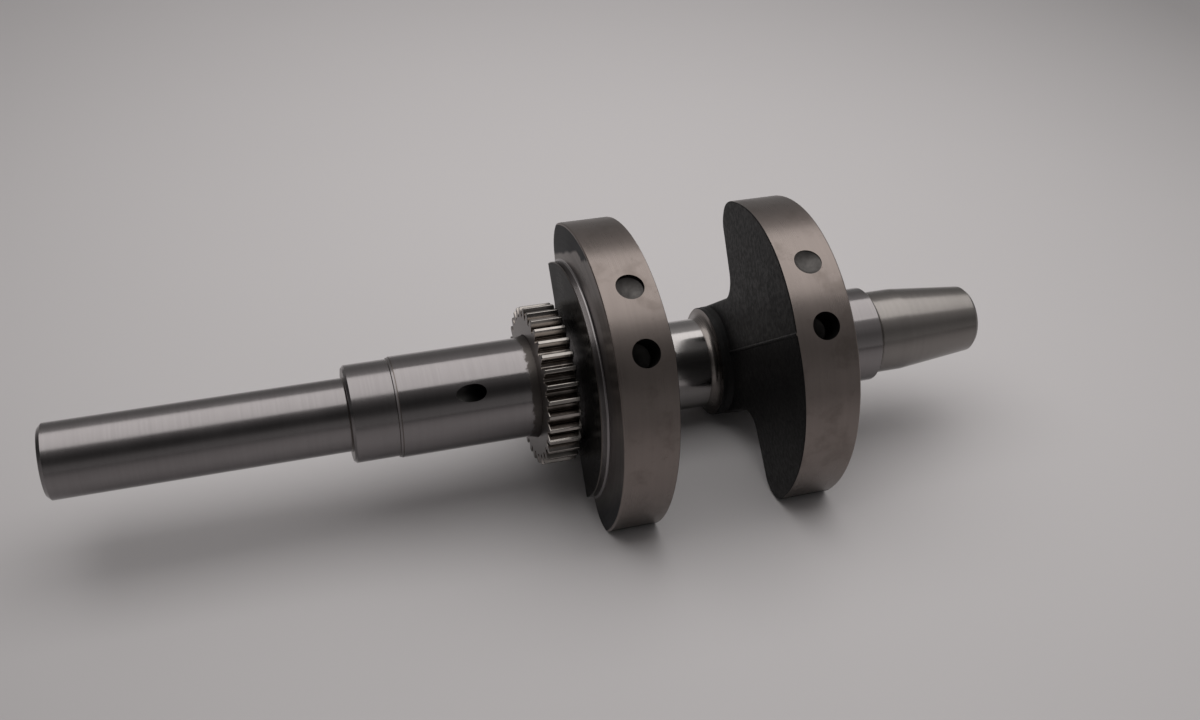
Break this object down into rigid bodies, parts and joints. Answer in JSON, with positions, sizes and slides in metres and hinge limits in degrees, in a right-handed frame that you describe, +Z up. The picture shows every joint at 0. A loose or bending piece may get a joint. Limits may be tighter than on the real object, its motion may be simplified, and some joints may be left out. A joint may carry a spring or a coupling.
{
  "type": "engine crankshaft",
  "caption": "Forged single-throw crankshaft with half-disc counterweights, straight output shaft, tapered flywheel end and a pressed-on timing gear.",
  "frame": {"origin": "bottom centre of the bounding box, on the table the shaft lies on", "axes": "+X along the shaft's axis from the output end to the flywheel end, +Z up as the shaft rests on its webs"},
  "size_m": [0.3768, 0.1148, 0.1076],
  "materials": {
    "ground_steel": "ground and turned steel journals and rims, satin with fine marks running round",
    "forged_steel": "dark forging scale with a fine rough grain, left on the webs' cheeks",
    "gear_steel": "hobbed teeth with a bright oiled sheen, matte grey side faces",
    "key_steel": "plain drawn steel"
  },
  "bodies": {
    "root": {"crankshaft_forging": "ground_steel", "timing_gear": "gear_steel", "timing_gear_key": "key_steel", "oil_gallery_plug": "key_steel"}
  },
  "joints": []
}
